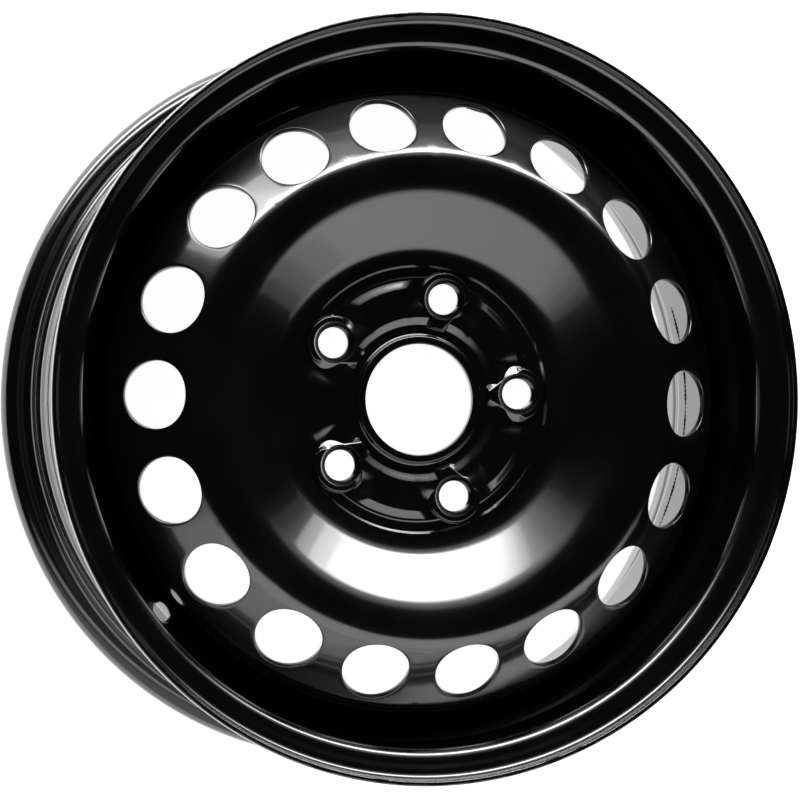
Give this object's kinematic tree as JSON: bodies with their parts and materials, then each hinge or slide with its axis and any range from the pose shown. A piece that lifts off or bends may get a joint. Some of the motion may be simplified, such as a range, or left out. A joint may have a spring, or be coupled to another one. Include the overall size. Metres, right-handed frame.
{
  "type": "steel wheel rim",
  "caption": "Pressed-steel car wheel: rolled rim with drop well and valve hole, dished disc with round vents, bolt seats and centre bore, semi-gloss black.",
  "frame": {"origin": "on the spin axis, halfway between the two flanges' outermost edges", "axes": "+Z along the spin axis towards the street side; -Y towards the valve hole, which lies in line with one bolt hole and one vent hole"},
  "size_m": [0.4406, 0.4406, 0.1908],
  "materials": {
    "black_paint": "semi-gloss black baked paint",
    "painted_weld": "weld bead under the same black paint"
  },
  "bodies": {
    "root": {"rim_barrel": "black_paint", "wheel_disc": "black_paint", "disc_weld_1": "painted_weld", "disc_weld_2": "painted_weld", "disc_weld_3": "painted_weld", "disc_weld_4": "painted_weld"}
  },
  "joints": []
}
